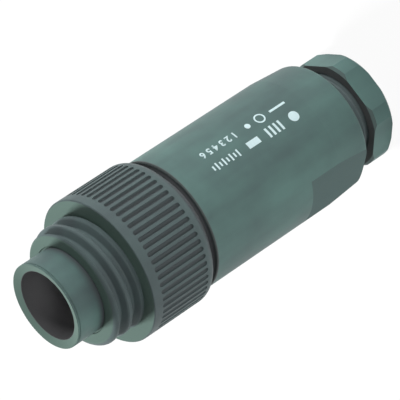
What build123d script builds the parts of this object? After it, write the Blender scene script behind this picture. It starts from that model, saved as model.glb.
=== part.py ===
from build123d import *
import os

# Circular cable connector, standing on its clamp nut with the mating end up.
# The axis is Z and the nut's rear face is at height 0. Lengths are in millimetres, angles in degrees.

# Lengths along the axis, from the cable end to the mating end
nut_length = 5.1
nut_gap = 4.1
sleeve_length = 41.15
ring_gap = 1.4
ring_length = 15.65
collar_length = 7.0
tube_reach = 6.2

# Clamp nut: a hexagon with its corners turned off
nut_across_flats = 21.4
nut_corner_diameter = 23.1
nut_flat_angle = 8.1
nut_end_wall = 1.0
nut_hole_diameter = 10.0
nut_rear_chamfer = 0.7
nut_front_chamfer = 0.5

# Threaded neck of the sleeve, under the nut
neck_diameter = 18.2
neck_pitch = 1.5
neck_thread_depth = 0.75
neck_crest = 0.24
neck_root = 0.18
neck_flare = 0.06
neck_flare_rise = 0.1
neck_bore = 14.0
neck_cover = 2.3
neck_thread_lead = 0.4
thread_clearance = 0.2

# Cable gland inside the neck
gland_seat_depth = 9.2
gland_seat_thickness = 1.5
gland_seat_bore = 10.0
gland_seal_length = 6.3
gland_seal_bore = 8.4
gland_seal_clearance = 0.1
clamp_ring_bore = 9.6
clamp_ring_clearance = 0.25
clamp_ring_play = 0.2
gland_chamfer = 0.6

# Sleeve
sleeve_diameter = 27.4
sleeve_taper = 0.6
sleeve_cone_length = 8.3
sleeve_rear_round = 1.0
sleeve_front_round = 0.25
sleeve_wall = 2.5
wrench_depth = 1.4
wrench_flat_length = 15.8
spigot_clearance = 0.3
spigot_wall = 1.7
cavity_taper_length = 5.0
cavity_end_diameter = 17.0
ledge_thickness = 3.0

# Coupling ring
ring_overhang = 1.2
ring_back_round = 2.0
ring_back_trim = 0.3
ring_front_round = 0.25
ring_wall = 2.5
ring_clearance = 0.25
lip_rise = 3.05
lip_length = 4.4
knurl_count = 60
knurl_angle = 4.5
knurl_groove_radius = 0.47
knurl_front_band = 2.0
knurl_back_band = 2.1

# Coarse round coupling thread on the ring's collar
collar_wall = 1.3
thread_pitch = 3.175
thread_depth = 1.55
thread_floor = 0.9
thread_mouth = 2.1
thread_floor_round = 0.36
thread_crest_round = 0.5
thread_flare = 0.1
thread_lead = 0.72
thread_end_setback = 0.6
collar_front_round = 1.15
nose_allowance = 0.02

# Contact insert
tube_diameter = 17.6
tube_wall = 1.7
rim_dish = 0.55
rim_round = 0.15
rim_land = 0.3
rim_groove_width = 0.35
rim_groove_depth = 0.15
flange_step = 0.25
flange_clearance = 0.1
flange_recess = 0.15
stem_step = 0.4
tail_step = 0.6
insert_clearance = 0.1
socket_depth = 18.5
carrier_thickness = 6.0
seat_below_floor = 2.0
tail_reach = 20.0
key_width = 1.6
key_height = 0.8
key_root = 0.2
key_setback = 1.0

# Sealing ring in the insert's stem
seal_section = 1.2
seal_groove_width = 1.5
seal_rise = 0.4
seal_play = 0.08

# Contacts on one circle, the first of them the protective earth
contact_count = 7
contact_inset = 2.5
contact_angle = 90.0
pin_diameter = 1.6
earth_diameter = 2.0
pin_length = 10.5
pin_tip_share = 0.7
earth_lead = 0.8
barrel_diameter = 3.2
barrel_setback = 1.0
wire_hole_diameter = 1.8
wire_hole_depth = 6.0
contact_clearance = 0.05

# Terminal screws, set radially in the barrels
screw_diameter = 2.2
screw_length = 2.4
screw_start = 0.5
screw_height = 3.2
screw_slot_width = 0.5
screw_slot_depth = 0.6
screw_access_diameter = 2.8

# Stations along the axis
sleeve_rear = nut_length + nut_gap
cone_front = sleeve_rear + sleeve_cone_length
flats_front = sleeve_rear + wrench_flat_length
sleeve_front = sleeve_rear + sleeve_length
ring_back = sleeve_front + ring_gap
ring_front = ring_back + ring_length
collar_front = ring_front + collar_length
tube_front = collar_front + tube_reach
lip_front = ring_front + lip_rise
lip_back = lip_front - lip_length
flange_front = collar_front - flange_recess
flange_back = lip_front + ring_clearance
spigot_front = lip_back - ring_clearance
socket_floor = tube_front - socket_depth
barrel_front = socket_floor - carrier_thickness
insert_seat = socket_floor - seat_below_floor
tail_rear = insert_seat - tail_reach
barrel_rear = tail_rear + barrel_setback
screw_level = barrel_rear + screw_height
neck_end = nut_length - neck_cover
gland_seat = neck_end + gland_seat_depth
cavity_floor = gland_seat + gland_seat_thickness
seal_rear = gland_seat - gland_seal_length

# Radii that several pieces share
sleeve_radius = sleeve_diameter / 2
ring_radius = sleeve_radius + ring_overhang
ring_cavity = ring_radius - ring_wall
spigot_radius = ring_cavity - spigot_clearance
tube_radius = tube_diameter / 2
socket_radius = tube_radius - tube_wall
stem_radius = tube_radius - stem_step
tail_radius = stem_radius - tail_step
flange_radius = tube_radius + flange_step
flange_bore = flange_radius + flange_clearance
collar_radius = flange_bore + collar_wall + thread_depth
circle_radius = socket_radius - contact_inset
barrel_radius = barrel_diameter / 2
contact_step = 360 / contact_count

# How far cutting tools pass beyond the faces that they open
overcut = 1.0


def turned(*corners):
    """Revolve (radius, height) corners about Z; a third number in a corner rounds it."""
    outline = make_face(Polyline(*[corner[:2] for corner in corners], close=True))
    for corner in corners:
        if len(corner) == 3:
            vertex = outline.vertices().sort_by_distance((corner[0], corner[1], 0))[0]
            outline = fillet(vertex, corner[2])
    return revolve(Plane.XZ * outline, Axis.Z)


def rod(radius, low, high):
    """Plain cylinder on the axis between two heights."""
    return Pos(0, 0, low) * Cylinder(radius, high - low, align=(Align.CENTER, Align.CENTER, Align.MIN))


def radial_rod(radius, angle, height, inner, outer):
    """Plain cylinder that points away from the axis at an angle and a height."""
    place = Rot(0, 0, angle) * Pos(inner, 0, height) * Rot(0, 90, 0)
    return place * Cylinder(radius, outer - inner, align=(Align.CENTER, Align.CENTER, Align.MIN))


def helical_groove(section, radius, pitch, height_at_zero, low, high):
    """Sweep a groove section up a right-hand helix that passes angle zero at a given height."""
    turns_below = int((height_at_zero - low) / pitch) + 2
    start = height_at_zero - turns_below * pitch
    path = Pos(0, 0, start) * Helix(pitch, high - start, radius)
    placed = Plane(path @ 0, x_dir=(1, 0, 0), z_dir=path % 0) * section
    return sweep(placed, path, is_frenet=True)


def groove_outline(half_widths):
    """Symmetrical groove section from (depth, half width) pairs, the mouth first."""
    upper = [(-depth, half) for depth, half in half_widths]
    lower = [(x, -y) for x, y in reversed(upper)]
    return make_face(Polyline(*upper, *lower, close=True))


def round_thread_section():
    """Groove of the coupling thread, with a rounded floor and shoulders that round the crests."""
    shoulder_depth = 0.3 * thread_crest_round
    flare_rise = shoulder_depth / 2
    flare_reach = 3 * flare_rise + thread_flare
    half_mouth = thread_mouth / 2
    mouth = (-flare_rise, half_mouth + flare_reach)
    outline = groove_outline((mouth, (shoulder_depth, half_mouth), (thread_depth, thread_floor / 2)))
    outline = fillet(outline.vertices().sort_by(Axis.X)[:2], thread_floor_round)
    corners = outline.vertices()
    shoulders = [corners.sort_by_distance((-shoulder_depth, side * half_mouth, 0))[0] for side in (1, -1)]
    return fillet(shoulders, thread_crest_round)


def coupling_ring():
    """Knurled ring and threaded collar in one moulding, with a lip that the insert's flange pulls on."""
    lip_bore = stem_radius + ring_clearance
    blank_back = ring_back - ring_back_trim
    body = turned(
        (lip_bore, lip_back),
        (ring_cavity, lip_back),
        (ring_cavity, blank_back),
        (ring_radius, blank_back, ring_back_round),
        (ring_radius, ring_front, ring_front_round),
        (lip_bore, ring_front),
    )
    body = split(body, Plane.XY.offset(ring_back), keep=Keep.TOP)
    groove_top = ring_front - knurl_front_band - knurl_groove_radius
    groove_bottom = ring_back + knurl_back_band + knurl_groove_radius
    groove = rod(knurl_groove_radius, groove_bottom, groove_top)
    groove += [Pos(0, 0, end) * Sphere(knurl_groove_radius) for end in (groove_bottom, groove_top)]
    body -= [place * groove for place in PolarLocations(ring_radius, knurl_count, knurl_angle)]
    collar = turned(
        (lip_bore, ring_front),
        (collar_radius, ring_front),
        (collar_radius, collar_front + overcut),
        (flange_bore, collar_front + overcut),
        (flange_bore, lip_front),
        (lip_bore, lip_front),
    )
    collar -= helical_groove(
        round_thread_section(),
        collar_radius,
        thread_pitch,
        collar_front - thread_lead,
        ring_front,
        collar_front - thread_end_setback,
    )
    nose = turned(
        (0, ring_front - overcut),
        (collar_radius + nose_allowance, ring_front - overcut),
        (collar_radius + nose_allowance, collar_front, collar_front_round),
        (0, collar_front),
    )
    return body + (collar & nose)


def contact_insert():
    """Contact carrier: plain tube, flange, stem and a tail with one barrel hole for each contact."""
    groove_back = insert_seat + seal_rise
    groove_front = groove_back + seal_groove_width
    groove_floor = stem_radius + insert_clearance - seal_section - 2 * seal_play
    rim_groove_front = tube_front - rim_land
    rim_groove_back = rim_groove_front - rim_groove_width
    insert = turned(
        (0, socket_floor),
        (socket_radius, socket_floor),
        (socket_radius, tube_front - rim_dish),
        (tube_radius, tube_front, rim_round),
        (tube_radius, rim_groove_front),
        (tube_radius - rim_groove_depth, rim_groove_front - rim_groove_width / 2),
        (tube_radius, rim_groove_back),
        (tube_radius, flange_front),
        (flange_radius, flange_front),
        (flange_radius, flange_back),
        (stem_radius, flange_back),
        (stem_radius, groove_front),
        (groove_floor, groove_front),
        (groove_floor, groove_back),
        (stem_radius, groove_back),
        (stem_radius, insert_seat),
        (tail_radius, insert_seat),
        (tail_radius, tail_rear),
        (0, tail_rear),
    )
    key_length = socket_depth - key_setback
    key = Box(key_height + key_root, key_width, key_length, align=(Align.MIN, Align.CENTER, Align.MIN))
    key_angle = contact_angle + 180
    insert += Rot(0, 0, key_angle) * Pos(socket_radius - key_height, 0, socket_floor) * key
    for number in range(contact_count):
        angle = contact_angle + number * contact_step
        place = Rot(0, 0, angle) * Pos(circle_radius, 0, 0)
        pin_radius = contact_radius(number) + contact_clearance
        hole = rod(pin_radius, barrel_front, socket_floor + overcut)
        hole += rod(barrel_radius + contact_clearance, tail_rear - overcut, barrel_front)
        access = radial_rod(screw_access_diameter / 2, angle, screw_level, circle_radius, tail_radius + overcut)
        insert -= [place * hole, access]
    return insert


def contact_radius(number):
    """Pin radius of a contact; number 0 is the thicker protective earth."""
    return (earth_diameter if number == 0 else pin_diameter) / 2


def contact(number):
    """Turned contact: a rounded pin in front, a barrel behind with a wire hole and a screw hole."""
    radius = contact_radius(number)
    tip = socket_floor + pin_length + (earth_lead if number == 0 else 0)
    body = turned(
        (0, barrel_rear),
        (barrel_radius, barrel_rear),
        (barrel_radius, barrel_front),
        (radius, barrel_front),
        (radius, tip, radius * pin_tip_share),
        (0, tip),
    )
    body -= rod(wire_hole_diameter / 2, barrel_rear - overcut, barrel_rear + wire_hole_depth)
    body -= radial_rod(screw_diameter / 2 + contact_clearance, 0, screw_level, 0, barrel_radius + overcut)
    return Rot(0, 0, contact_angle + number * contact_step) * Pos(circle_radius, 0, 0) * body


def terminal_screw(number):
    """Slotted grub screw that clamps the wire in one barrel."""
    inner = circle_radius + screw_start
    outer = inner + screw_length
    screw = radial_rod(screw_diameter / 2, 0, screw_level, inner, outer)
    slot = Box(screw_slot_depth * 2, screw_diameter + overcut, screw_slot_width)
    screw -= Pos(outer, 0, screw_level) * slot
    return Rot(0, 0, contact_angle + number * contact_step) * screw


def insert_seal():
    """O-ring in the stem's groove, against the sleeve's spigot bore."""
    middle = insert_seat + seal_rise + seal_groove_width / 2
    ring_middle = stem_radius + insert_clearance - seal_play - seal_section / 2
    return Pos(0, 0, middle) * Torus(ring_middle, seal_section / 2)


def sleeve():
    """Housing sleeve: front spigot that carries the ring, rear cone, wrench flats and threaded neck."""
    shell = turned(
        (0, sleeve_rear),
        (sleeve_radius - sleeve_taper, sleeve_rear, sleeve_rear_round),
        (sleeve_radius, cone_front),
        (sleeve_radius, sleeve_front, sleeve_front_round),
        (spigot_radius, sleeve_front),
        (spigot_radius, spigot_front, sleeve_front_round),
        (0, spigot_front),
    )
    flat_tool = Box(sleeve_radius, sleeve_diameter, wrench_flat_length + overcut)
    flat_offset = sleeve_radius - wrench_depth + sleeve_radius / 2
    flat_middle = flats_front - (wrench_flat_length + overcut) / 2
    shell -= [Pos(side * flat_offset, 0, flat_middle) * flat_tool for side in (1, -1)]
    neck = rod(neck_diameter / 2, neck_end, sleeve_rear)
    cavity_radius = sleeve_radius - sleeve_wall
    cavity_top = sleeve_front - sleeve_wall / 2
    core_radius = spigot_radius - spigot_wall
    ledge_back = insert_seat - ledge_thickness
    hollow = turned(
        (0, neck_end - overcut),
        (neck_bore / 2, neck_end - overcut),
        (neck_bore / 2, gland_seat),
        (gland_seat_bore / 2, gland_seat),
        (gland_seat_bore / 2, cavity_floor),
        (cavity_end_diameter / 2, cavity_floor),
        (cavity_radius, cavity_floor + cavity_taper_length),
        (cavity_radius, cavity_top),
        (core_radius, cavity_top),
        (core_radius, ledge_back),
        (tail_radius + insert_clearance, ledge_back),
        (tail_radius + insert_clearance, insert_seat),
        (stem_radius + insert_clearance, insert_seat),
        (stem_radius + insert_clearance, spigot_front + overcut),
        (0, spigot_front + overcut),
    )
    return shell + threaded(neck) - hollow


def threaded(neck):
    """Cut the neck's fine thread into its blank."""
    half_mouth = (neck_pitch - neck_crest) / 2
    mouth = (-neck_flare_rise, half_mouth + neck_flare)
    section = groove_outline((mouth, (neck_thread_depth, neck_root / 2)))
    level = sleeve_rear - neck_thread_lead
    return neck - helical_groove(section, neck_diameter / 2, neck_pitch, level, neck_end, level + 2 * neck_pitch)


def gland_seal():
    """Rubber bush between the seat in the neck and the clamp ring."""
    outer = neck_bore / 2 - gland_seal_clearance
    inner = gland_seal_bore / 2
    return turned(
        (inner, seal_rear + gland_chamfer),
        (inner + gland_chamfer, seal_rear),
        (outer - gland_chamfer, seal_rear),
        (outer, seal_rear + gland_chamfer),
        (outer, gland_seat),
        (inner, gland_seat),
    )


def clamp_ring():
    """Pressure ring that the nut pushes against the bush."""
    outer = neck_bore / 2 - clamp_ring_clearance
    inner = clamp_ring_bore / 2
    rear = nut_end_wall + clamp_ring_play
    front = seal_rear - clamp_ring_play
    return turned(
        (inner, rear),
        (outer, rear),
        (outer, front - gland_chamfer),
        (outer - gland_chamfer, front),
        (inner, front),
    )


def clamp_nut():
    """Hexagon nut with turned-off corners, a hole for the cable and a bore over the neck."""
    corner = nut_corner_diameter / 2
    hole = nut_hole_diameter / 2
    bore = neck_diameter / 2 + thread_clearance
    blank = turned(
        (hole, 0),
        (corner - nut_rear_chamfer, 0),
        (corner, nut_rear_chamfer),
        (corner, nut_length - nut_front_chamfer),
        (corner - nut_front_chamfer, nut_length),
        (bore, nut_length),
        (bore, nut_end_wall),
        (hole, nut_end_wall),
    )
    flats = RegularPolygon(nut_across_flats / 2, 6, major_radius=False, rotation=nut_flat_angle - 30)
    return blank & extrude(flats, nut_length)


def nodes():
    """Every piece of the connector by its name."""
    pieces = {
        "clamp_nut": clamp_nut(),
        "clamp_ring": clamp_ring(),
        "gland_seal": gland_seal(),
        "sleeve": sleeve(),
        "coupling_ring": coupling_ring(),
        "contact_insert": contact_insert(),
        "insert_seal": insert_seal(),
        "earth_pin": contact(0),
    }
    for number in range(1, contact_count):
        pieces[f"contact_pin_{number}"] = contact(number)
    for number in range(contact_count):
        pieces[f"terminal_screw_{number + 1}"] = terminal_screw(number)
    return pieces


os.makedirs("parts", exist_ok=True)
for name, piece in nodes().items():
    export_step(piece, f"parts/{name}.step")
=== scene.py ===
# %% [markdown]
# A circular cable connector, dressed for its picture.
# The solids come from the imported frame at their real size, in metres, with the axis on Z and the
# mating end up. This lesson gives each of them a finish, models the ribbed rubber bush of the cable
# gland, lays ink on the sleeve and numerals in the socket, and then sets up the floor, the camera
# and the light.

# %% Load the frame
from math import atan2, cos, pi, radians, sin, sqrt

import bmesh
import bpy
from mathutils import Matrix, Vector


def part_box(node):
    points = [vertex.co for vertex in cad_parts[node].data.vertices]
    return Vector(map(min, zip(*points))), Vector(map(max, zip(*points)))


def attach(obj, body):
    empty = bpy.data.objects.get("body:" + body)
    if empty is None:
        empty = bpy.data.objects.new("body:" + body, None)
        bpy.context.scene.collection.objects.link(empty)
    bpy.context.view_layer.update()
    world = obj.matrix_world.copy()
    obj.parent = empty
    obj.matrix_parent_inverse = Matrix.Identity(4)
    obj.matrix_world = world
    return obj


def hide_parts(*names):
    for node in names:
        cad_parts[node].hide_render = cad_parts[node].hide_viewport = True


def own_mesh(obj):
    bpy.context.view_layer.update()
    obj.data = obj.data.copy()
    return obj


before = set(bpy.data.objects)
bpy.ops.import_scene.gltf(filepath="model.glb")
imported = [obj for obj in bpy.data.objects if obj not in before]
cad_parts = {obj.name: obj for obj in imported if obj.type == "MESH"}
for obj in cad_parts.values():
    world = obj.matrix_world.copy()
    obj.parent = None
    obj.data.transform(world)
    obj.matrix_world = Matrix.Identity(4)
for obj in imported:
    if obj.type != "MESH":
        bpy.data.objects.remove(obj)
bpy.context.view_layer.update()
MM = 0.001


# %% [markdown]
# The dressing has to sit where the solids are. Its sizes could be copied from a drawing, but then a
# changed solid would leave the paint behind, so they are read from the frame. A box gives the outer
# sizes. For a shoulder or a bore, the corners of the solid are listed by their distance from the axis
# and their height, and the lowest, highest or innermost of them is picked.

# %% Sizes read from the frame
def corners(name):
    """Distance from the axis and height of every corner of a solid."""
    spots = [vertex.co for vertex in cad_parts[name].data.vertices]
    return [(sqrt(spot.x ** 2 + spot.y ** 2), spot.z) for spot in spots]


# Farther out than these shares of its radius, a corner of the sleeve is on its cone or its round skin.
sleeve_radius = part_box("sleeve")[1].y
cone_skin = 0.85 * sleeve_radius
round_skin = 0.95 * sleeve_radius
sleeve_rear = min(height for reach, height in corners("sleeve") if reach > cone_skin)
sleeve_front = max(height for reach, height in corners("sleeve") if reach > round_skin)
print("sleeve radius", round(sleeve_radius / MM, 2), "mm")
print("sleeve from", round(sleeve_rear / MM, 2), "to", round(sleeve_front / MM, 2), "mm high")

ring_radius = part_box("coupling_ring")[1].y
collar_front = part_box("coupling_ring")[1].z
tube_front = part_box("contact_insert")[1].z
rim_depth = 0.7 * MM
rim = [reach for reach, height in corners("contact_insert") if height > tube_front - rim_depth]
socket_radius = min(rim)
print("collar front", round(collar_front / MM, 2), "mm, tube front", round(tube_front / MM, 2), "mm high")
print("ring radius", round(ring_radius / MM, 2), "mm, socket radius", round(socket_radius / MM, 2), "mm")


# %% [markdown]
# A finish is a network of nodes. Each node could be added and linked by hand, but then the sums that
# they do are hard to see. Here a Wire holds one output of a node, and adding, subtracting or
# multiplying wires adds the Math node for it, so shader maths reads as plain arithmetic. The
# reflected forms let a number stand first, as in 1 - mask.

# %% Wires
class Wire:
    """One node output that can stand in a Python expression."""

    def __init__(self, board, socket):
        self.board = board
        self.socket = socket

    def math(self, operation, first, second):
        return self.board.node("ShaderNodeMath", {"operation": operation}, {0: first, 1: second})

    def __add__(self, other):
        return self.math("ADD", self, other)

    def __radd__(self, other):
        return self.math("ADD", other, self)

    def __sub__(self, other):
        return self.math("SUBTRACT", self, other)

    def __rsub__(self, other):
        return self.math("SUBTRACT", other, self)

    def __mul__(self, other):
        return self.math("MULTIPLY", self, other)

    def __rmul__(self, other):
        return self.math("MULTIPLY", other, self)

    def __abs__(self):
        return self.math("ABSOLUTE", self, 0)


print("a wire can be added, subtracted and multiplied")


# %% [markdown]
# Blender has many types of node, and a helper for each would be a long list. They are all made alike,
# so one method of a Board, which is one tree of nodes, makes any of them: from its type, its settings,
# which come first because some of them change the sockets, and what goes into its sockets.

# %% Boards
class Board:
    """A tree of nodes, with one method that makes any of them."""

    def __init__(self, tree):
        self.tree = tree

    def node(self, kind, settings, sockets, output=0):
        made = self.tree.nodes.new(kind)
        for key, value in settings.items():
            setattr(made, key, value)
        for key, value in sockets.items():
            self.plug(made.inputs[key], value)
        return Wire(self, made.outputs[output])

    def plug(self, socket, value):
        """Link a wire to a socket, or set the socket to a plain value."""
        if isinstance(value, Wire):
            self.tree.links.new(value.socket, socket)
        else:
            socket.default_value = value


print("a board makes any node")


# %% [markdown]
# A Finish is the board of one material. Its patterns could follow a UV map, but unwrapping so many
# round pieces takes long and leaves seams. Object coordinates need no map: a pattern has its real size
# on every piece, and it stays on the piece when that turns.

# %% Finishes
class Finish(Board):
    """A procedural material whose pattern lies on Object coordinates."""

    def __init__(self, name):
        self.material = bpy.data.materials.new(name)
        self.material.use_nodes = True
        super().__init__(self.material.node_tree)
        self.surface = self.tree.nodes["Principled BSDF"]

    def set(self, **sockets):
        """Fill sockets of the surface. An underscore stands for a space in a socket's name."""
        for key, value in sockets.items():
            self.plug(self.surface.inputs[key.replace("_", " ")], value)

    def place(self, stretch=(1, 1, 1), shift=(0, 0, 0)):
        """Object coordinates, with the pattern made finer by a factor along each axis, and shifted."""
        spot = self.node("ShaderNodeTexCoord", {}, {}, "Object")
        return self.node("ShaderNodeMapping", {}, {"Vector": spot, "Scale": stretch, "Location": shift})

    def noise(self, scale, detail, stretch=(1, 1, 1), shift=(0, 0, 0)):
        sockets = {"Vector": self.place(stretch, shift), "Scale": scale, "Detail": detail}
        return self.node("ShaderNodeTexNoise", {}, sockets)

    def part(self, source, axis):
        """One axis of the place or of the direction that the surface faces: Object or Normal."""
        whole = self.node("ShaderNodeTexCoord", {}, {}, source)
        return self.node("ShaderNodeSeparateXYZ", {}, {0: whole}, axis)

    def height(self):
        return self.part("Object", "Z")

    def reach(self):
        """Distance from the connector's axis."""
        flat = self.place(stretch=(1, 1, 0))
        return self.node("ShaderNodeVectorMath", {"operation": "LENGTH"}, {0: flat}, "Value")

    def step(self, value, edge, soft):
        """Goes from 0 below an edge to 1 above it, over a soft border on both sides."""
        settings = {"interpolation_type": "SMOOTHSTEP"}
        sockets = {"Value": value, "From Min": edge - soft, "From Max": edge + soft}
        return self.node("ShaderNodeMapRange", settings, sockets)

    def blend(self, factor, low, high):
        """Colour between two tones. The Mix node lists its colours after its numbers and vectors."""
        first_colour, second_colour, mixed_colour = 6, 7, 2
        sockets = {"Factor": factor, first_colour: low, second_colour: high}
        return self.node("ShaderNodeMix", {"data_type": "RGBA"}, sockets, mixed_colour)

    def bump(self, height, depth, strength):
        return self.node("ShaderNodeBump", {}, {"Height": height, "Distance": depth, "Strength": strength})


def opaque(tone, shares=(1, 1, 1)):
    """A tone as a full colour, with each of its three parts scaled by a share."""
    return [share * part for share, part in zip(shares, tone)] + [1]


print("finishes can place a pattern, measure the surface and blend tones")


# %% [markdown]
# The housing is a moulded, glass-filled plastic of a dark grey-green. Seen close it is never one flat
# tone: the melt leaves streaks and patches along the draw, and the spark-eroded tool leaves a fine
# grain that breaks the highlights. An image of such plastic could be laid on, but it would repeat and
# stretch. Noise doesn't, so streaks, clouds and patches move the tone between a greyer and a greener
# one, and a fine grain makes the bump.

# %% Moulded plastic
grey_shares = (0.8, 0.71, 0.75)
green_shares = (1.2, 1.3, 1.24)
along_axis = (1, 1, 0.12)
melt_shift = (60 * MM, 40 * MM, 18 * MM)
streak_share = 0.15
cloud_share = 0.35
patch_share = 0.5
noise_middle = 0.5
plastic_roughness = 0.5


def moulded_plastic(name, tone, mottling, zones):
    """Each zone is a function that gives a mask, and the tone that the plastic takes there."""
    finish = Finish(name)
    streaks = finish.noise(scale=420, detail=4, stretch=along_axis)
    clouds = finish.noise(scale=120, detail=3)
    patches = finish.noise(scale=130, detail=2, stretch=along_axis, shift=melt_shift)
    grain = finish.noise(scale=5200, detail=2)
    mottle = streak_share * streaks + cloud_share * clouds + patch_share * patches
    greenness = noise_middle + mottling * (mottle - noise_middle)
    colour = finish.blend(greenness, opaque(tone, grey_shares), opaque(tone, green_shares))
    for mask, zone_tone in zones:
        colour = finish.blend(mask(finish), colour, opaque(zone_tone))
    dulling = 0.1 * (clouds - noise_middle) + 0.08 * (grain - noise_middle)
    finish.set(
        Base_Color=colour,
        Roughness=plastic_roughness + dulling,
        Normal=finish.bump(grain, depth=0.02 * MM, strength=0.35),
        Specular_IOR_Level=0.14,
    )
    return finish


print("streaks are", round(1 / along_axis[2], 1), "times as long as they are wide")


# %% [markdown]
# The tone isn't the same all over the sleeve: the wrench flats are darker and the threaded neck is greyer.
# In the gap behind the coupling ring, the seat that the ring turns on is painted a paler grey, as painted
# light that lifts the gap's shade. Its outer rim is painted dark, as painted shade. Such zones could be
# painted by hand on an image. On a turned part each is bounded by a height, a distance from the axis or
# the way a face looks, so one or two soft steps make the mask, and it follows the solid.

# %% Zones of the sleeve
def wrench_flats(finish):
    """The two flats: they face along X and lie inside the round skin."""
    facing_side = finish.step(abs(finish.part("Normal", "X")), edge=0.985, soft=0.01)
    on_skin = finish.step(abs(finish.part("Object", "X")), edge=round_skin, soft=0.01 * sleeve_radius)
    return facing_side * (1 - on_skin)


def threaded_neck(finish):
    """The sleeve below its rear shoulder."""
    border = 0.05 * MM
    return 1 - finish.step(finish.height(), edge=sleeve_rear - border, soft=border)


def ring_seat(finish):
    """The sleeve's front edge and the spigot that the ring turns on."""
    edge_width = 0.4 * MM
    return finish.step(finish.height(), edge=sleeve_front - edge_width, soft=0.15 * MM)


def seat_rim(finish):
    """Painted shade: the outer rim of that seat, darkened where the ring's shade falls."""
    rim_width = 0.7 * MM
    return ring_seat(finish) * finish.step(finish.reach(), edge=sleeve_radius - rim_width, soft=0.5 * MM)


flat_tone = (0.055, 0.1, 0.096)
# The threaded neck takes a greyer tone than the housing.
neck_grey_tone = (0.108, 0.136, 0.139)
# Painted light: the seat in the gap behind the ring takes a paler neutral grey that lifts its shade.
# Painted shade: the seat's outer rim is dark where the ring's shade falls.
gap_seat_painted_light_tone = (0.15, 0.157, 0.165)
gap_rim_painted_shade_tone = (0.049, 0.058, 0.058)
sleeve_zones = [
    (wrench_flats, flat_tone),
    (threaded_neck, neck_grey_tone),
    (ring_seat, gap_seat_painted_light_tone),
    (seat_rim, gap_rim_painted_shade_tone),
]
print("sleeve:", [mask.__name__ for mask, tone in sleeve_zones])


# %% [markdown]
# On the coupling ring, the floors of the knurl are painted darker, as painted shade, and its faces that
# look straight up take a greener tone, as painted light. The nut's front face, close under the sleeve, is
# painted a darker grey, as painted shade. The grooves could be told from the ribs by a bake of the
# hollows, but their depth is known, so the distance from the axis is enough.

# %% Zones of the ring and the nut
def knurl_grooves(finish):
    """The floors of the ring's grooves: below its skin, and outside the collar."""
    border = 0.2 * MM
    groove_top = ring_radius - border
    collar_edge = 0.9 * groove_top
    reach = finish.reach()
    outside_collar = finish.step(reach, edge=collar_edge, soft=border)
    return outside_collar - finish.step(reach, edge=groove_top, soft=border)


def level_faces(finish):
    """Faces that look straight up, without the flanks of the thread."""
    return finish.step(finish.part("Normal", "Z"), edge=0.95, soft=0.03)


def front_faces(finish):
    """Faces that look up, with the roundings beside them."""
    return finish.step(finish.part("Normal", "Z"), edge=0.7, soft=0.25)


# Painted shade: the floors of the knurl take this darker grey, where shade falls in the grooves.
groove_painted_shade_tone = (0.066, 0.079, 0.083)
# Painted light: faces that look up, towards the key lamp, take this tone of the lit front faces. The ring
# and the insert share it.
upward_face_painted_light_tone = (0.084, 0.129, 0.112)
# Painted shade: the nut's front face, close under the sleeve, takes a darker neutral grey.
nut_front_painted_shade_tone = (0.084, 0.088, 0.089)
ring_zones = [(knurl_grooves, groove_painted_shade_tone), (level_faces, upward_face_painted_light_tone)]
nut_zones = [(front_faces, nut_front_painted_shade_tone)]
print("ring:", [mask.__name__ for mask, tone in ring_zones])
print("nut:", [mask.__name__ for mask, tone in nut_zones])


# %% [markdown]
# The insert's tube is painted darker at its foot, where it leaves the collar, as painted shade, and its
# front rim takes the ring's tone for faces that look up, as painted light. Its socket could keep the
# housing's tone, but in the depth that would close up to plain black, and the real wall is still seen
# there. So the socket is painted dark grey at the mouth, as painted shade, and paler farther down, as
# painted light against the shade of the depth.

# %% Zones of the insert
def tube_foot(finish):
    """Painted shade on the tube just in front of the collar, where the collar's shade falls."""
    foot_height = 0.75 * MM
    return 1 - finish.step(finish.height(), edge=collar_front + foot_height, soft=0.85 * MM)


def socket_wall(finish):
    """Everything inside the insert's tube."""
    border = 0.05 * MM
    return 1 - finish.step(finish.reach(), edge=socket_radius + border, soft=border)


def socket_depths(finish):
    """Inside the tube, from a little below its mouth downwards."""
    below = 4.0 * MM
    deep = 1 - finish.step(finish.height(), edge=tube_front - below, soft=below)
    return socket_wall(finish) * deep


# Painted shade: the tube's foot is darker where the collar's shade falls on it.
foot_painted_shade_tone = (0.07, 0.082, 0.087)
# Painted shade: the socket's wall is a dark neutral grey at the mouth.
socket_painted_shade_tone = (0.082, 0.082, 0.085)
# Painted light: farther down the socket the wall grows paler, against the shade of the depth.
socket_depth_painted_light_tone = (0.2, 0.2, 0.206)
insert_zones = [
    (tube_foot, foot_painted_shade_tone),
    (front_faces, upward_face_painted_light_tone),
    (socket_wall, socket_painted_shade_tone),
    (socket_depths, socket_depth_painted_light_tone),
]
print("insert:", [mask.__name__ for mask, tone in insert_zones])


# %% [markdown]
# Now the plastic is mixed. All five housing pieces could share one material with every zone in it, but
# a zone of the sleeve would then reach over to the ring. A finish for each moulding keeps them apart,
# and only the nut and the pressure ring inside it share theirs.

# %% Plastic on the housing pieces
def dress(name, finish):
    """Give a solid of the frame its finish."""
    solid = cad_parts[name]
    solid.data.materials.clear()
    solid.data.materials.append(finish.material)


housing_tone = (0.089, 0.148, 0.141)
knurl_tone = (0.079, 0.106, 0.109)
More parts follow.
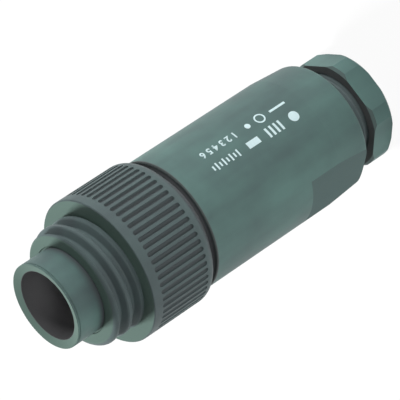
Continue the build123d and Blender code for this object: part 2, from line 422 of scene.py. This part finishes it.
# Painted light: the nut and the pressure ring get a paler tone than the housing, to make up for the dimmer
# light that reaches them near the floor.
nut_painted_light_tone = (0.101, 0.176, 0.166)
nut_plastic = moulded_plastic("nut_plastic", nut_painted_light_tone, mottling=1.6, zones=nut_zones)
sleeve_plastic = moulded_plastic("sleeve_plastic", housing_tone, mottling=3.2, zones=sleeve_zones)
insert_plastic = moulded_plastic("insert_plastic", housing_tone, mottling=3.2, zones=insert_zones)
ring_plastic = moulded_plastic("ring_plastic", knurl_tone, mottling=1.9, zones=ring_zones)
dress("sleeve", sleeve_plastic)
dress("contact_insert", insert_plastic)
dress("coupling_ring", ring_plastic)
dress("clamp_nut", nut_plastic)
dress("clamp_ring", nut_plastic)
print("moulded plastic on the five housing pieces")


# %% [markdown]
# Inside the tube stand the contacts, turned from brass and plated. The lathe leaves fine rings. They
# could be modelled as grooves, but they are far too fine to be seen one by one, so the bump is a noise
# that is long around the pin and short along it. The terminal screws are plated steel.

# %% Contacts and screws
around_pin = (0.2, 0.2, 6)
hazy_shares = (0.9, 0.9, 0.9)


def turned_metal(name, tone, roughness):
    finish = Finish(name)
    rings = finish.noise(scale=900, detail=2, stretch=around_pin)
    haze = finish.noise(scale=700, detail=3)
    finish.set(
        Base_Color=finish.blend(haze, opaque(tone, hazy_shares), opaque(tone)),
        Metallic=1.0,
        Roughness=roughness + 0.12 * haze,
        Normal=finish.bump(rings, depth=0.01 * MM, strength=0.3),
    )
    return finish


contact_metal = turned_metal("contact_metal", (0.83, 0.8, 0.72), roughness=0.22)
screw_steel = turned_metal("screw_steel", (0.6, 0.6, 0.59), roughness=0.3)
pins = [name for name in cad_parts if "pin" in name]
screws = [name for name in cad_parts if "screw" in name]
for name in pins:
    dress(name, contact_metal)
for name in screws:
    dress(name, screw_steel)
print("metal on", len(pins), "contacts and", len(screws), "screws")


# %% [markdown]
# Two soft pieces keep water out: a ring seal between the insert and the sleeve, and the bush in the
# gland. Both are black rubber. A plain black would look like a hole, so a dusty bloom lightens the tone
# and dulls the gloss together.

# %% Rubber
def seal_rubber(name, clean_tone, dusty_tone):
    finish = Finish(name)
    dust = finish.noise(scale=900, detail=4)
    finish.set(
        Base_Color=finish.blend(dust, opaque(clean_tone), opaque(dusty_tone)),
        Roughness=0.6 + 0.2 * dust,
        Normal=finish.bump(dust, depth=0.02 * MM, strength=0.4),
    )
    return finish


black_rubber = seal_rubber("black_rubber", (0.012, 0.012, 0.013), (0.03, 0.031, 0.032))
dress("insert_seal", black_rubber)
print("rubber on the ring seal")


# %% [markdown]
# The gland's rubber bush is soft, so it gets a mesh of its own in place of the plain solid. Such a bush is
# moulded with ribs in its bore, which bite into the cable's jacket. They could be cut from a tube one by
# one, but the bush is round, so its half section is drawn once as a closed outline, and one full spin
# turns it into the bush. When the nut is screwed in, the bush is pressed shorter against its seat.

# %% Gland bush
def new_piece(name, shape, finish, body):
    """Turn a bmesh into a piece that rides on a body."""
    bmesh.ops.remove_doubles(shape, verts=shape.verts, dist=0.001 * MM)
    bmesh.ops.recalc_face_normals(shape, faces=shape.faces)
    mesh = bpy.data.meshes.new(name)
    shape.to_mesh(mesh)
    shape.free()
    mesh.materials.append(finish.material)
    piece = bpy.data.objects.new(name, mesh)
    bpy.context.scene.collection.objects.link(piece)
    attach(piece, body)
    return piece


def bush_section(low, high):
    """Half section of the bush, as distances from the axis and heights: down outside, up the bore."""
    outer = high.y
    crest = min(reach for reach, height in corners("gland_seal"))
    rib_depth = 0.35 * MM
    groove = crest + rib_depth
    chamfer = 0.6 * MM
    rib_count = 4
    rib_step = (high.z - low.z - 2 * chamfer) / rib_count
    section = [(outer, high.z), (outer, low.z + chamfer)]
    section += [(outer - chamfer, low.z), (crest + chamfer, low.z)]
    for rib in range(rib_count):
        foot = low.z + chamfer + rib * rib_step
        section += [(groove, foot), (crest, foot + rib_step / 3), (crest, foot + rib_step * 2 / 3)]
    return section + [(groove, high.z - chamfer), (groove, high.z)]


def gland_bush():
    low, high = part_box("gland_seal")
    shape = bmesh.new()
    points = [shape.verts.new((reach, 0, height)) for reach, height in bush_section(low, high)]
    edges = [shape.edges.new((points[number - 1], point)) for number, point in enumerate(points)]
    bmesh.ops.spin(
        shape,
        geom=points + edges,
        cent=(0, 0, 0),
        axis=(0, 0, 1),
        angle=2 * pi,
        steps=96,
        use_merge=True,
    )
    bush = new_piece("gland_bush", shape, black_rubber, "housing")
    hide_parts("gland_seal")
    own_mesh(bush)
    return bush


bush = gland_bush()
print("bush", len(bush.data.polygons), "faces")


# %% [markdown]
# White ink stands on the sleeve: plain numerals and simple shapes in two rows along the axis. They
# could be a mask in the sleeve's material, but nodes draw no numerals, and a baked image blurs its
# edges. As thin meshes they stay sharp from near. Each mark starts as a flat shape of its real size,
# on a sheet whose length is the height on the sleeve.

# %% Flat marks
boldness = 0.025


def flat_numerals(shape, words, height, place):
    """Bold numerals as a flat mesh, centred on a place of the sheet."""
    letters = bpy.data.curves.new("numerals", "FONT")
    letters.body = words
    letters.size = height
    letters.offset = boldness * height
    letters.align_x = "CENTER"
    letters.align_y = "CENTER"
    carrier = bpy.data.objects.new("numerals", letters)
    mesh = bpy.data.meshes.new_from_object(carrier)
    mesh.transform(Matrix.Translation((*place, 0)))
    shape.from_mesh(mesh)
    bpy.data.objects.remove(carrier)
    bpy.data.curves.remove(letters)
    bpy.data.meshes.remove(mesh)


def flat_bar(shape, length, width, place):
    """A bar, scaled from a square with sides of 1: a grid's size is half its side."""
    bar = bmesh.ops.create_grid(shape, x_segments=1, y_segments=1, size=0.5)
    bmesh.ops.scale(shape, verts=bar["verts"], vec=(length, width, 1))
    bmesh.ops.translate(shape, verts=bar["verts"], vec=(*place, 0))


def flat_disc(shape, radius, place):
    """A round disc, given back as its one face."""
    disc = bmesh.ops.create_circle(shape, cap_ends=True, segments=48, radius=radius)
    bmesh.ops.translate(shape, verts=disc["verts"], vec=(*place, 0))
    return disc["verts"][0].link_faces[0]


def flat_ring(shape, radius, stroke, place):
    """A disc that keeps only a stroke along its edge."""
    inside = flat_disc(shape, radius, place)
    bmesh.ops.inset_region(
        shape,
        faces=[inside],
        thickness=stroke,
        use_boundary=True,
        use_even_offset=True,
    )
    bmesh.ops.delete(shape, geom=[inside], context="FACES_ONLY")


print("flat marks: numerals, bars, discs and rings")


# %% [markdown]
# Pad printing lays the ink round the sleeve. A Shrinkwrap modifier could press the flat sheet onto it,
# but it would pull the shapes out of true at the sides. Bending keeps every length: the sheet is cut
# into narrow strips, thickened a little, and each corner's place across the sheet becomes an angle. The
# layer is sunk slightly into the sleeve, so that no gap shows under its edges.

# %% Bending the sheet
def thicken(shape, thickness):
    """Make a flat sheet a thin closed layer."""
    top = bmesh.ops.extrude_face_region(shape, geom=shape.faces[:], use_keep_orig=True)
    raised = [part for part in top["geom"] if isinstance(part, bmesh.types.BMVert)]
    bmesh.ops.translate(shape, verts=raised, vec=(0, 0, thickness))


def cut_into_strips(shape, strip):
    """Cut a sheet lengthwise, so that it can bend."""
    widest = max(abs(vertex.co.y) for vertex in shape.verts)
    for number in range(-int(widest / strip), int(widest / strip) + 1):
        everything = shape.verts[:] + shape.edges[:] + shape.faces[:]
        bmesh.ops.bisect_plane(shape, geom=everything, plane_co=(0, number * strip, 0), plane_no=(0, 1, 0))


def wrap_on_sleeve(shape, middle_angle, sunk, proud):
    """Bend a flat sheet round the sleeve; its length runs up the axis."""
    cut_into_strips(shape, strip=0.5 * MM)
    thicken(shape, sunk + proud)
    for vertex in shape.verts:
        length, width, lift = vertex.co
        angle = middle_angle - width / sleeve_radius
        reach = sleeve_radius - sunk + lift
        vertex.co = (reach * cos(angle), reach * sin(angle), length)


print("a sheet can be bent round a radius of", round(sleeve_radius / MM, 2), "mm")


# %% [markdown]
# The two rows could be drawn elsewhere and brought in as outlines, but as a few sizes in millimetres
# they stay easy to move. The first number of a place is the height on the sleeve. The ink is a dull
# white with thin spots, as pad printing leaves them, so a fine noise varies its tone, its gloss and its
# bump together.

# %% Marks on the sleeve
def printed_ink(name, tone):
    finish = Finish(name)
    spots = finish.noise(scale=2600, detail=3)
    thin_shares = (0.82, 0.82, 0.82)
    finish.set(
        Base_Color=finish.blend(spots, opaque(tone, thin_shares), opaque(tone)),
        Roughness=0.55 + 0.2 * spots,
        Normal=finish.bump(spots, depth=0.01 * MM, strength=0.4),
        Specular_IOR_Level=0.3,
    )
    return finish


def upper_marks(shape, row):
    flat_bar(shape, length=4.0 * MM, width=0.5 * MM, place=(22.6 * MM, row))
    flat_ring(shape, radius=1.15 * MM, stroke=0.3 * MM, place=(27.2 * MM, row))
    flat_disc(shape, radius=0.6 * MM, place=(30.4 * MM, row))
    flat_numerals(shape, "1 2 3 4 5 6", height=2.1 * MM, place=(38.0 * MM, row))


def lower_marks(shape, row):
    flat_disc(shape, radius=1.1 * MM, place=(21.5 * MM, row))
    for bar in range(4):
        flat_bar(shape, length=0.5 * MM, width=2.2 * MM, place=((25.0 + 1.1 * bar) * MM, row))
    flat_bar(shape, length=3.0 * MM, width=1.4 * MM, place=(32.2 * MM, row))
    for tick in range(8):
        width = 1.6 if tick % 2 == 0 else 1.0
        flat_bar(shape, length=0.35 * MM, width=width * MM, place=((36.2 + 0.9 * tick) * MM, row))


def sleeve_marks(finish):
    shape = bmesh.new()
    upper_marks(shape, row=-1.9 * MM)
    lower_marks(shape, row=1.6 * MM)
    wrap_on_sleeve(shape, middle_angle=radians(266), sunk=0.04 * MM, proud=0.03 * MM)
    marks = new_piece("sleeve_marks", shape, finish, "housing")
    return marks


white_ink = printed_ink("white_ink", (0.61, 0.77, 0.79))
marks = sleeve_marks(white_ink)
print("marks", len(marks.data.polygons), "faces")


# %% [markdown]
# The contacts of such a connector are numbered, so that the wires find their places. Small numerals
# stand raised on the floor of the socket, each outside its pin and with its foot towards the axis. They
# could be laid out one by one, but a pin's box already gives its angle and its distance from the axis.
# So a loop makes each numeral flat at the origin and thickens it, and a matrix moves it to its pin.

# %% Numerals in the socket
def raised_numeral(number, floor_height):
    """One numeral beside its pin, as a bmesh that stands a little sunk in the socket's floor."""
    low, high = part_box(f"contact_pin_{number}")
    beside_pin = 1.55 * MM
    sunk = 0.05 * MM
    angle = atan2(low.y + high.y, low.x + high.x)
    reach = sqrt((low.x + high.x) ** 2 + (low.y + high.y) ** 2) / 2 + beside_pin
    numeral = bmesh.new()
    flat_numerals(numeral, str(number), height=1.3 * MM, place=(0, 0))
    thicken(numeral, thickness=0.25 * MM)
    turn = Matrix.Rotation(angle - pi / 2, 4, "Z")
    spot = Matrix.Translation((reach * cos(angle), reach * sin(angle), floor_height - sunk))
    bmesh.ops.transform(numeral, matrix=spot @ turn, verts=numeral.verts)
    return numeral


def contact_numerals(finish):
    inside = 0.8 * socket_radius
    floor_height = max(height for reach, height in corners("contact_insert") if reach < inside)
    contact_count = sum("contact_pin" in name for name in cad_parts)
    shape = bmesh.new()
    for number in range(1, contact_count + 1):
        numeral = raised_numeral(number, floor_height)
        carrier = bpy.data.meshes.new("numeral")
        numeral.to_mesh(carrier)
        numeral.free()
        shape.from_mesh(carrier)
        bpy.data.meshes.remove(carrier)
    numerals = new_piece("contact_numerals", shape, finish, "housing")
    return numerals


pale_plastic = printed_ink("pale_plastic", (0.4, 0.43, 0.43))
numerals = contact_numerals(pale_plastic)
print("numerals", len(numerals.data.polygons), "faces")


# %% [markdown]
# The stage is one pale floor. A strong lamp could bleach it to white, but it would bleach the connector
# as well. Light Path tells what a ray is for: to the camera, or in a gloss, the floor is nearly pure
# white by itself, and a small share of its own shading is kept, so that the connector's shadow still
# lies on it. It lies a little below the nut, because two faces in one plane would flicker.

# %% Floor
def looked_at(board):
    """1 for what the camera, a gloss or a clear piece sees, and 0 for what only lights a surface."""
    rays = ("Is Camera Ray", "Is Glossy Ray", "Is Transmission Ray")
    camera, gloss, clear = [board.node("ShaderNodeLightPath", {}, {}, ray) for ray in rays]
    return camera + gloss + clear


def floor_paint(white_share):
    finish = Finish("pale_floor")
    finish.set(Base_Color=(0.8, 0.8, 0.8, 1), Roughness=0.9)
    shaded = Wire(finish, finish.surface.outputs[0])
    white = finish.node("ShaderNodeEmission", {}, {"Color": (1, 1, 1, 1), "Strength": 1.0})
    sockets = {0: white_share * looked_at(finish), 1: shaded, 2: white}
    mixed = finish.node("ShaderNodeMixShader", {}, sockets)
    finish.plug(finish.tree.nodes["Material Output"].inputs["Surface"], mixed)
    return finish


def pale_floor(size, drop):
    shape = bmesh.new()
    bmesh.ops.create_grid(shape, x_segments=1, y_segments=1, size=size)
    bmesh.ops.translate(shape, verts=shape.verts, vec=(0, 0, -drop))
    mesh = bpy.data.meshes.new("floor")
    shape.to_mesh(mesh)
    shape.free()
    mesh.materials.append(floor_paint(white_share=0.94).material)
    floor = bpy.data.objects.new("floor", mesh)
    bpy.context.scene.collection.objects.link(floor)
    return floor


floor = pale_floor(size=3.0, drop=0.1 * MM)
print("floor", floor.dimensions[:])


# %% [markdown]
# The camera is described as a photographer would: how far it is from the connector, how steeply it
# looks down on the standing part, from which side, and how the picture is turned, because in the
# photograph the axis runs from the lower left to the upper right. The three directions of the picture
# are worked out from these, which is easier to follow than three angles of rotation.

# %% Camera
camera_distance = 600 * MM
look_height = 40.78 * MM
look_down = radians(31.37)
facing = radians(242)
axis_tilt = radians(33.545)
side_shift = 0.687 * MM

down_axis = Vector((0, 0, -1))
toward_viewer = Vector((cos(facing), sin(facing), 0))
view = down_axis * sin(look_down) - toward_viewer * cos(look_down)
along = down_axis * cos(look_down) + toward_viewer * sin(look_down)
across = down_axis.cross(toward_viewer)
right = along * cos(axis_tilt) + across * sin(axis_tilt)
up = along * sin(axis_tilt) - across * cos(axis_tilt)
aim = Vector((0, 0, look_height)) - across * side_shift
camera_place = aim - view * camera_distance

lens = bpy.data.cameras.new("camera")
lens.lens = 288.4
lens.sensor_width = 36
lens.clip_start = 0.01
lens.clip_end = 20
camera = bpy.data.objects.new("camera", lens)
bpy.context.scene.collection.objects.link(camera)
turn = Matrix((right, up, -view)).transposed()
camera.matrix_world = Matrix.Translation(camera_place) @ turn.to_4x4()
bpy.context.scene.camera = camera
print("camera at", [round(part, 3) for part in camera_place])


# %% [markdown]
# Soft boxes light the part. In the photograph the tube throws a clear shadow on the collar and the
# collar on the ring, straight towards the viewer, so a small key lamp stands behind and above. A larger
# one at the viewer's right hand, which is the upper side of the turned picture, shapes the long sleeve,
# and a weak one in front, to the left, opens the shadows. Plastic this dull has no sharp glints, so
# the first two are hidden from the gloss.

# %% Lamps
def soft_box(name, toward, right_hand, rise, width, height, power):
    """A lamp aimed at the part's middle and placed from there, in metres, as the viewer sees it."""
    lamp = bpy.data.lights.new(name, "AREA")
    lamp.shape = "RECTANGLE"
    lamp.size = width
    lamp.size_y = height
    lamp.energy = power
    body = bpy.data.objects.new(name, lamp)
    bpy.context.scene.collection.objects.link(body)
    offset = toward_viewer * toward - across * right_hand + Vector((0, 0, rise))
    body.location = Vector((0, 0, look_height)) + offset
    body.rotation_euler = (-offset).to_track_quat("-Z", "Y").to_euler()
    return body


key = soft_box("key", toward=-0.7, right_hand=0, rise=0.6, width=0.16, height=0.16, power=17.4)
fill = soft_box("fill", toward=0.25, right_hand=0.95, rise=0.12, width=0.5, height=0.4, power=8.7)
low = soft_box("low", toward=0.84, right_hand=-0.45, rise=0.32, width=0.6, height=0.4, power=4.1)
key.visible_glossy = False
fill.visible_glossy = False
print("soft boxes:", [f"{lamp.name} {lamp.data.energy:.1f} W" for lamp in (key, fill, low)])


# %% [markdown]
# Around the stage lies a white world, as in a light tent. At full strength it would fill every shadow,
# so it lights the part only weakly, and shows its white to the camera and in a gloss, as the floor does.

# %% World
world_light = 0.1
world = bpy.data.worlds.new("world")
world.use_nodes = True
surround = Board(world.node_tree)
backdrop = world.node_tree.nodes["Background"]
backdrop.inputs["Color"].default_value = (1, 1, 1, 1)
surround.plug(backdrop.inputs["Strength"], world_light + (1 - world_light) * looked_at(surround))
bpy.context.scene.world = world
bpy.context.scene.view_settings.view_transform = "Standard"
print("the world lights the part with a strength of", world_light)
